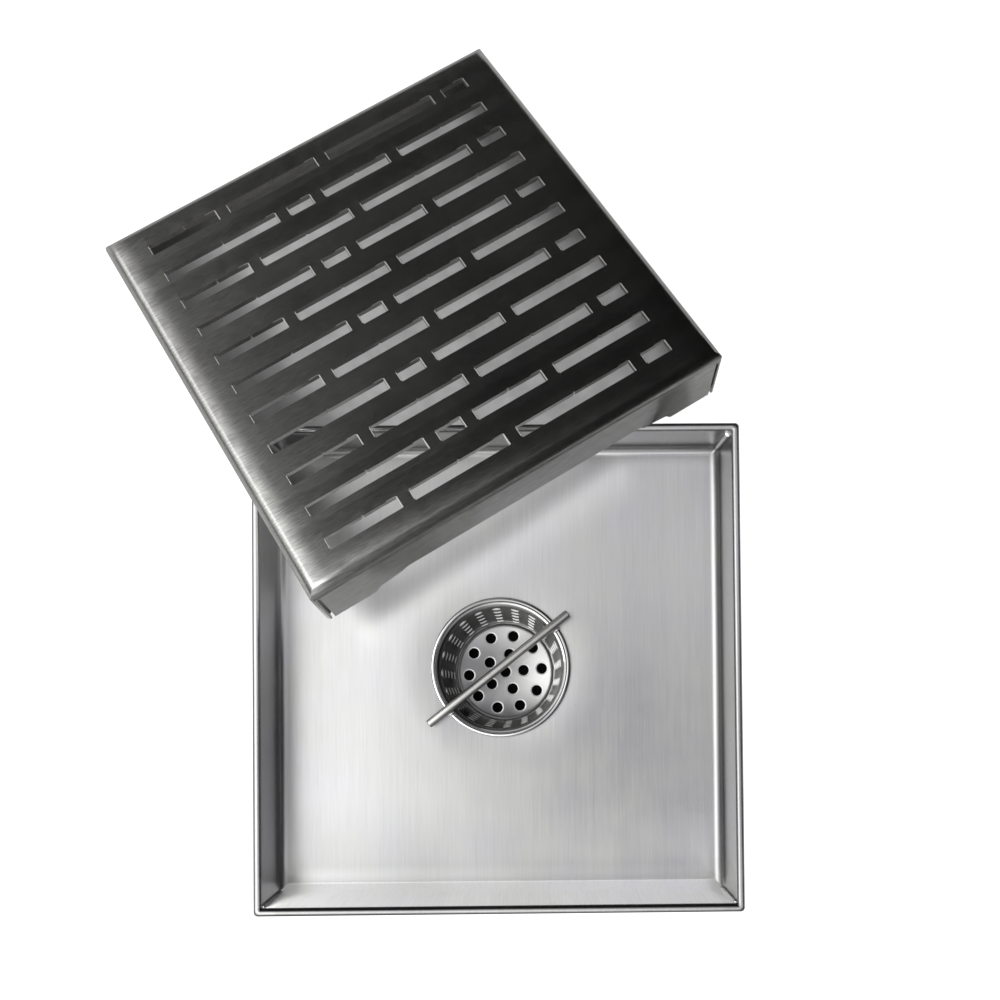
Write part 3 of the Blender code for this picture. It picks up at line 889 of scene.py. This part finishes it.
def sheet_lines(slot_edges):
    """Where the sheet is divided along one axis: slot edges, relief steps and both bends."""
    slot_lines = {round(edge, 4) for edge in slot_edges}
    relief_lines = {round(side * (GRATE_HALF - s), 4) for s in RELIEF_STATIONS
                    for side in (-1, 1)}
    clear = {v for v in relief_lines if min(abs(v - k) for k in slot_lines) > 0.12}
    return sorted(slot_lines | clear | {-GRATE_FLAT, GRATE_FLAT})


def grate_surface(slots):
    """The upper surface: flat sheet with slots, four bends and four skirts."""
    xs = sheet_lines(edge for slot in slots for edge in slot[:2])
    ys = sheet_lines(slot[2] + d * SLOT_WIDTH / 2 for slot in slots for d in (-1, 1))
    bm = bmesh.new()
    top = [[bm.verts.new((x, y, 0.0)) for y in ys] for x in xs]

    def in_slot(x, y):
        return any(a < x < b and abs(y - c) < SLOT_WIDTH / 2 for a, b, c in slots)

    for i in range(len(xs) - 1):
        for j in range(len(ys) - 1):
            if not in_slot((xs[i] + xs[i + 1]) / 2, (ys[j] + ys[j + 1]) / 2):
                bm.faces.new((top[i][j], top[i + 1][j], top[i + 1][j + 1], top[i][j + 1]))

    # front, right, rear and left: the stations along each side in that side's own axes,
    # and the flat sheet's vertices there
    sides = ((xs, [column[0] for column in top]),
             (ys, top[-1]),
             ([-x for x in reversed(xs)], [column[-1] for column in reversed(top)]),
             ([-y for y in reversed(ys)], top[0][::-1]))
    arc_steps = 10
    for quarter, (stations, edge) in enumerate(sides):
        turned = Matrix.Rotation(quarter * math.pi / 2, 3, "Z")
        last = len(stations) - 1
        rows = [edge]
        for step in range(1, arc_steps + 1):
            a = math.pi / 2 * step / arc_steps
            out, z = GRATE_BEND * math.sin(a), -GRATE_BEND * (1 - math.cos(a))
            row = []
            for index, s in enumerate(stations):
                if index == 0:
                    s -= out
                elif index == last:
                    s += out
                row.append(bm.verts.new(turned @ Vector((s, -(GRATE_FLAT + out), z))))
            rows.append(row)
        row = []
        for s in [-GRATE_HALF] + stations[1:-1] + [GRATE_HALF]:
            z = -GRATE_DEPTH + relief(GRATE_HALF - abs(s))
            row.append(bm.verts.new(turned @ Vector((s, -GRATE_HALF, z))))
        rows.append(row)
        for upper, lower in zip(rows, rows[1:]):
            for i in range(last):
                bm.faces.new((upper[i], lower[i], lower[i + 1], upper[i + 1]))
    bmesh.ops.remove_doubles(bm, verts=bm.verts, dist=0.0005)
    bmesh.ops.recalc_face_normals(bm, faces=bm.faces)
    if sum(face.normal.z * face.calc_area() for face in bm.faces) < 0:
        bmesh.ops.reverse_faces(bm, faces=bm.faces)
    return bm


def grate_cutter(slots):
    """What is cut from the solid sheet: corner gaps, clipped corners and pierce marks."""
    cut = bmesh.new()

    def box(lo, hi, rotation=Matrix.Identity(4)):
        lo, hi = Vector(lo), Vector(hi)
        matrix = Matrix.Translation((lo + hi) / 2) @ Matrix.Diagonal((*(hi - lo), 1.0))
        bmesh.ops.create_cube(cut, size=1.0, matrix=rotation @ matrix)

    half, sheet, foot = GRATE_HALF, GRATE_SHEET, -GRATE_DEPTH - 1.0
    gap = 0.95
    reach = (half - 0.42) * math.sqrt(2)
    for side_x in (-1, 1):
        for side_y in (-1, 1):
            # open corner: the front and rear skirts stop short of the left and right ones
            x0, x1 = sorted((side_x * (half - sheet), side_x * (half - sheet - gap)))
            y0, y1 = sorted((side_y * (half - sheet - 0.3), side_y * (half + 1.0)))
            box((x0, y0, foot), (x1, y1, -GRATE_BEND - 0.2))
            diagonal = Matrix.Rotation(math.atan2(side_y, side_x), 4, "Z")
            box((reach, -4.0, foot), (reach + 3.0, 4.0, 1.0), diagonal)
    # pierce marks (x, y, radius) in each slot's far corners, and on a long slot's far edge
    for left, right, y in slots:
        far = y + SLOT_WIDTH / 2
        marks = [(left + 0.12, far - 0.10, 0.30), (right - 0.12, far - 0.10, 0.26)]
        if right - left > 20:
            marks.append(((left + right) / 2 + 0.6, far + 0.02, 0.34))
        for mark_x, mark_y, r in marks:
            bmesh.ops.create_cone(cut, cap_ends=True, segments=14, radius1=r, radius2=r,
                                  depth=4.0,
                                  matrix=Matrix.Translation((mark_x, mark_y, -sheet / 2)))
    for face in cut.faces:
        face.material_index = 1
    return cut


def add_burr(bm, start, end, away, width, height):
    """A closed ridge from start to end, its foot set into the sheet."""
    # (share of the width, z)
    section = ((0.0, -0.04), (0.0, 0.012), (0.55, height), (1.0, 0.012), (1.0, -0.04))
    first, last = ([bm.verts.new(Vector((x + away[0] * width * k, y + away[1] * width * k, z))
                                 * MM) for k, z in section] for x, y in (start, end))
    ridge = [bm.faces.new(first), bm.faces.new(last[::-1])]
    for i in range(5):
        j = (i + 1) % 5
        ridge.append(bm.faces.new((first[j], first[i], last[i], last[j])))
    for face in ridge:
        face.material_index = 1
    bmesh.ops.recalc_face_normals(bm, faces=ridge)


def add_burrs(mesh, slots):
    """Low laser burr: both ends of each slot, and the right part of its far edge."""
    bm = bmesh.new()
    bm.from_mesh(mesh)
    for left, right, y in slots:
        near, far = y - SLOT_WIDTH / 2, y + SLOT_WIDTH / 2
        add_burr(bm, (right + 0.02, near + 0.1), (right + 0.02, far - 0.05),
                 away=(1.0, 0.0), width=0.34, height=0.075)
        add_burr(bm, (right - 3.2, far + 0.03), (right - 0.1, far + 0.03),
                 away=(0.0, 1.0), width=0.26, height=0.05)
        add_burr(bm, (left - 0.02, near + 0.5), (left - 0.02, far - 0.3),
                 away=(-1.0, 0.0), width=0.26, height=0.05)
    bm.to_mesh(mesh)
    bm.free()


def build_grate():
    slots = lay_out_slots()
    obj = add_object("grate_sheet", mesh_from("grate_sheet", grate_surface(slots), [GRATE, CUT]))
    obj.matrix_world = GRATE_PLACE
    mod = obj.modifiers.new("thickness", "SOLIDIFY")
    mod.thickness = GRATE_SHEET * MM
    mod.offset = -1.0
    mod.use_even_offset = True
    mod.use_quality_normals = True
    mod.material_offset_rim = 1
    bake(obj)
    boolean_cut(obj, grate_cutter(slots), [GRATE, CUT], obj.matrix_world)
    add_burrs(obj.data, slots)
    for polygon in obj.data.polygons:
        polygon.use_smooth = True
    obj.data.set_sharp_from_angle(angle=math.radians(30))
    mod = obj.modifiers.new("edge", "BEVEL")
    mod.width = 0.19 * MM
    mod.segments = 1
    mod.limit_method = "ANGLE"
    mod.angle_limit = math.radians(60)
    mod.harden_normals = True
    mod.use_clamp_overlap = True
    assign(obj, "grate", "grate_plate")


# -------------------------------------------------------------------- ground
# painted shade of the ground seen through the grate: (metres along the grate's X, light)
UNDER_GRATE_PAINTED_SHADE = ((-0.070, 0.05), (-0.052, 0.085), (-0.045, 0.14), (-0.035, 0.32),
                     (-0.020, 0.36), (0.010, 0.31), (0.030, 0.28), (0.048, 0.23),
                     (0.056, 0.10), (0.070, 0.06))


def ground_material():
    """White ground that glows, with painted shade: black inside the outlet and a painted shadow
    where it is seen through the grate.
    """
    nodes = Material("ground_white")
    spot = nodes.coords()
    ground_x = nodes.component(spot, X)

    # where the line of sight from the camera crosses the grate, in the grate's own axes
    rotation = GRATE_PLACE.to_3x3()
    across_axis, along_axis, face_axis = (tuple(rotation.col[i]) for i in range(3))
    centre = tuple(GRATE_PLACE.translation)
    world_spot = nodes.geometry("Position")
    sight = nodes.vec("SUBTRACT", tuple(CAMERA_PLACE), world_spot)
    to_grate = nodes.dot(nodes.vec("SUBTRACT", centre, world_spot), face_axis)
    share = to_grate / nodes.dot(sight, face_axis)
    hit = nodes.vec("ADD", world_spot, nodes.scale(sight, share))
    hit = nodes.vec("SUBTRACT", hit, centre)
    across = nodes.dot(hit, across_axis)
    along = nodes.dot(hit, along_axis)
    inside = (GRATE_HALF - 3.0) * MM
    under = (abs(across) < inside) * (abs(along) < inside)

    # seen directly, this is only for the main camera: from anywhere else the ground is plain
    to_camera = nodes.dot(nodes.vec("NORMALIZE", sight), nodes.geometry("Incoming"))
    reflected = 1.0 - nodes.camera_ray()
    under = under * nodes.math("MAXIMUM", to_camera > 0.9999, reflected)

    # the painted shadow runs across the grate, a little skewed, with a wandering edge and
    # mottling
    drift = nodes.noise(spot, scale=40.0, detail=2.0, rough=0.5)
    place = across + nodes.around(along * 0.06, drift, 16.0 * MM)
    shade = nodes.ramp(place, UNDER_GRATE_PAINTED_SHADE, low=-0.070, high=0.070, top=1.0)
    mottle = nodes.noise(spot, scale=75.0, detail=3.0, rough=0.6)
    shade = shade * nodes.multiply_add(mottle, 0.9, 0.55)
    light = under * shade + (1.0 - under)

    # painted shade: seen from above, the ground within the outlet's radius is black and does not
    # glow
    from_outlet = nodes.vec("LENGTH", nodes.vec("SUBTRACT", spot, tuple(OUTLET * MM)))
    above = nodes.component(nodes.geometry("Incoming"), Z) > 0.5
    outside = nodes.math("MAXIMUM", from_outlet > 21.0 * MM, 1.0 - above)
    # the ground glows, full to the camera as a plain white backdrop; in what the pieces mirror it
    # is a painted glow that fades to the right
    painted_glow_in_reflections = nodes.band(ground_x, span=(0.02, 0.12), to=(0.24, 0.09))
    glow = nodes.math("MAXIMUM", nodes.camera_ray(), painted_glow_in_reflections)
    # painted shade: the ground is near black where it is seen through the grate and inside the
    # outlet, pale elsewhere
    nodes.set(Base_Color=nodes.mix(outside * (1.0 - under), (0.02, 0.02, 0.02, 1.0),
                                   (0.55, 0.55, 0.55, 1.0)),
              Roughness=0.9, Emission_Strength=glow * (outside * light),
              Emission_Color=(1, 1, 1, 1), Specular_IOR_Level=0.0)

    # seen from below the ground is clear
    clear = nodes.add("MixShader", {0: nodes.geometry("Backfacing"),
                                    1: nodes.shader.outputs[0],
                                    2: nodes.add("BsdfTransparent").outputs[0]})
    nodes.put(nodes.tree.nodes["Material Output"].inputs[0], clear.outputs[0])
    return nodes.mat


def build_ground():
    mesh = bpy.data.meshes.new("ground")
    bm = bmesh.new()
    bmesh.ops.create_grid(bm, x_segments=1, y_segments=1, size=4.0)
    bm.to_mesh(mesh)
    bm.free()
    ground = add_object("ground", mesh)
    ground.location = (0, 0, -0.0145)
    mesh.materials.append(ground_material())


# -------------------------------------------------------------------- lights
# light of the sky against its direction, as (cosine, light): a bright strip low on the
# left that falls away to the right, and a high light that fades to both sides and
# towards the front and rear
STRIP_BY_SIDE = (
    (-1.0, 0.35), (-0.88, 0.45), (-0.72, 0.75), (-0.58, 1.30), (-0.46, 1.95), (-0.34, 1.90),
    (-0.23, 0.98), (-0.14, 0.46), (-0.07, 0.24), (0.0, 0.09), (0.10, 0.020), (0.20, 0.008),
    (0.35, 0.008), (1.0, 0.006))
HIGH_BY_SIDE = (
    (-1.0, 0.0), (-0.50, 0.12), (-0.25, 0.90), (-0.08, 1.12), (0.0, 0.92), (0.10, 0.56),
    (0.20, 0.24), (0.30, 0.07), (0.45, 0.01), (1.0, 0.0))
HIGH_BY_AHEAD = (
    (-1.0, 0.10), (-0.60, 0.26), (-0.42, 0.26), (-0.30, 0.20), (-0.10, 0.30), (0.05, 0.72),
    (0.18, 1.15), (0.32, 0.62), (0.44, 0.12), (0.55, 0.0), (1.0, 0.0))

# light of the overhead box: (metres from the origin over the box's height, light)
OVERHEAD_BY_X = (
    (-1.4, 0.3), (-0.9, 0.8), (-0.60, 1.20), (-0.42, 1.12), (-0.32, 0.82), (-0.22, 0.31),
    (-0.16, 0.15), (-0.10, 0.05), (-0.04, 0.03), (0.0, 0.03), (0.07, 0.05), (0.12, 0.08),
    (0.18, 0.17), (0.25, 0.36), (0.33, 0.80), (0.44, 0.60), (0.56, 0.15), (0.70, 0.03),
    (0.9, 0.0))
OVERHEAD_BY_Y = (
    (-0.90, 0.0), (-0.75, 0.0), (-0.60, 0.45), (-0.36, 1.0), (-0.27, 0.54), (-0.19, 0.02),
    (-0.10, 0.0), (0.0, 0.03), (0.08, 0.34), (0.15, 0.58), (0.22, 0.72), (0.42, 0.72))
OVERHEAD_HEIGHT = 1.2               # metres

FILL_X, FILL_Y, FILL_Z = -11.1, 105.3, 20.5


def build_world():
    world = bpy.data.worlds.new("studio")
    scene.world = world
    world.use_nodes = True
    nodes = NodeTree(world.node_tree)
    nodes.tree.nodes.clear()
    x, y, z = nodes.split(nodes.coords("Generated"))
    # directions turned by about the grate's turn on plan
    side = x * 0.86 + y * 0.51
    ahead = x * -0.51 + y * 0.86

    strip = nodes.ramp(side, STRIP_BY_SIDE)
    strip = strip * nodes.band(z, span=(0.0, 0.35))
    strip = strip * nodes.band(ahead, span=(-0.85, -0.10), to=(0.35, 1.0))
    strip = strip * nodes.band(ahead, span=(0.42, 0.80), to=(1.22, 0.78))
    level = strip + nodes.band(ahead, span=(0.66, 0.90), to=(0.0, 0.035))

    high = nodes.ramp(side, HIGH_BY_SIDE) * nodes.ramp(ahead, HIGH_BY_AHEAD)
    level = level + high * nodes.band(z, span=(-0.10, 0.30))

    # the camera sees plain white: at least 1 and at most 1; other rays are capped at 10
    level = nodes.math("MAXIMUM", level, nodes.camera_ray())
    level = nodes.math("MINIMUM", level, nodes.multiply_add(nodes.camera_ray(), -9.0, 10.0))
    background = nodes.add("Background", {"Color": (1, 1, 1, 1), "Strength": level})
    nodes.put(nodes.add("OutputWorld").inputs[0], background.outputs[0])


def overhead_light(nodes):
    """Strength and colour: peaks to the left and right, and to the front and rear."""
    x, y, _ = nodes.split(nodes.geometry("Position"))
    across = x / OVERHEAD_HEIGHT
    deep = y / OVERHEAD_HEIGHT
    value = nodes.ramp(across, OVERHEAD_BY_X, low=-1.4, high=1.4)
    by_depth = nodes.ramp(deep, OVERHEAD_BY_Y, low=-0.90, high=0.42)
    value = value + by_depth * nodes.band(across, span=(-0.25, -0.02), to=(0.5, 1.0))
    value = value * nodes.band(deep, span=(-0.80, -0.55))
    warm, cool = (1.0, 1.0, 0.985, 1.0), (0.955, 0.945, 1.0, 1.0)
    return value, nodes.mix(nodes.band(across, span=(-0.22, 0.22)), warm, cool)


def fill_light(nodes):
    """Strength and colour: full under the grate, fading out in front of its near skirt."""
    spot = nodes.geometry("Position")
    # distances back from the near skirt, and along it from the fill's centre
    back = nodes.dot(nodes.vec("SUBTRACT", spot, (-0.009, 0.0902, 0.0)), (-0.515, 0.857, 0.0))
    along = nodes.dot(nodes.vec("SUBTRACT", spot, mm(FILL_X, FILL_Y, 0.0)), (0.855, 0.518, 0.0))
    # dimmer at the left end, close to the skirt and behind it
    left = nodes.math("MAXIMUM", nodes.band(along, span=mm(-46.0, -14.0), to=(0.12, 1.0)),
                      nodes.band(back, span=mm(9.0, 18.0), to=(1.0, 0.0)))
    return nodes.band(back, span=mm(-14.0, 2.0)) * left, (1, 1, 1, 1)


def softbox(name, size_x, size_y, place, turn, radiance, light, receivers):
    """Area light on the receivers only; sizes and place in metres, turn in degrees."""
    lamp = bpy.data.lights.new(name, "AREA")
    lamp.shape = "RECTANGLE"
    lamp.size = size_x
    lamp.size_y = size_y
    lamp.energy = math.pi * size_x * size_y * radiance
    obj = bpy.data.objects.new(name, lamp)
    obj.matrix_world = Matrix.Translation(place) @ Matrix.Rotation(math.radians(turn), 4, "Z")
    obj.visible_camera = False
    obj.light_linking.receiver_collection = receivers
    scene.collection.objects.link(obj)
    lamp.use_nodes = True
    nodes = NodeTree(lamp.node_tree)
    nodes.tree.nodes.clear()
    strength, colour = light(nodes)
    emission = nodes.add("Emission", {"Strength": strength, "Color": colour})
    nodes.put(nodes.add("OutputLight").inputs[0], emission.outputs[0])


def build_softboxes():
    """Two area lights that the ground and the leaning grate are kept out of."""
    receivers = bpy.data.collections.new("lit_tray")
    for obj in list(scene.objects):
        if obj.type == "MESH" and obj.name not in ("ground", "grate_sheet"):
            receivers.objects.link(obj)
    softbox("overhead", size_x=2.8, size_y=1.60, place=Vector((-0.20, -0.30, OVERHEAD_HEIGHT)),
            turn=0.0, radiance=1.0, light=overhead_light, receivers=receivers)
    softbox("fill_under_grate", size_x=112 * MM, size_y=60 * MM,
            place=Vector((FILL_X, FILL_Y, FILL_Z)) * MM, turn=31.2, radiance=0.60,
            light=fill_light, receivers=receivers)


# -------------------------------------------------------------------- camera
def build_camera():
    """Looks almost straight down on the tray."""
    camera = bpy.data.cameras.new("camera")
    obj = add_object("camera", camera)
    # the rows of the world-to-camera rotation point right, down and forward
    turn = Vector((3.127, -0.014, 0.009))     # axis times angle, in radians
    right, down, forward = Matrix.Rotation(turn.length, 3, turn.normalized())
    basis = Matrix((right, -down, -forward)).transposed()
    obj.matrix_world = Matrix.Translation(CAMERA_PLACE) @ basis.to_4x4()
    camera.sensor_width = 36.0
    camera.lens = 31.31136
    camera.shift_x = -0.03825
    camera.shift_y = 0.15736
    camera.clip_start = 0.01
    scene.camera = obj
    scene.view_settings.view_transform = "Standard"


# --------------------------------------------------------------------- build
build_tray()
# corner, its side in X and Y, bead radius, and whether a ball ends it
for bead in (("rear_right", 1, 1, 1.0, True), ("rear_left", -1, 1, 0.9, True),
             ("front_left", -1, -1, 0.6, False), ("front_right", 1, -1, 0.6, False)):
    build_corner_bead(*bead)
build_outlet_pipe()
build_outlet_weld()
build_basket_rim()
build_basket_wall()
build_basket_base()
build_rod()
build_tack("front", -1.0)
build_tack("rear", 1.0)
build_grate()
build_ground()
build_world()
build_softboxes()
build_camera()
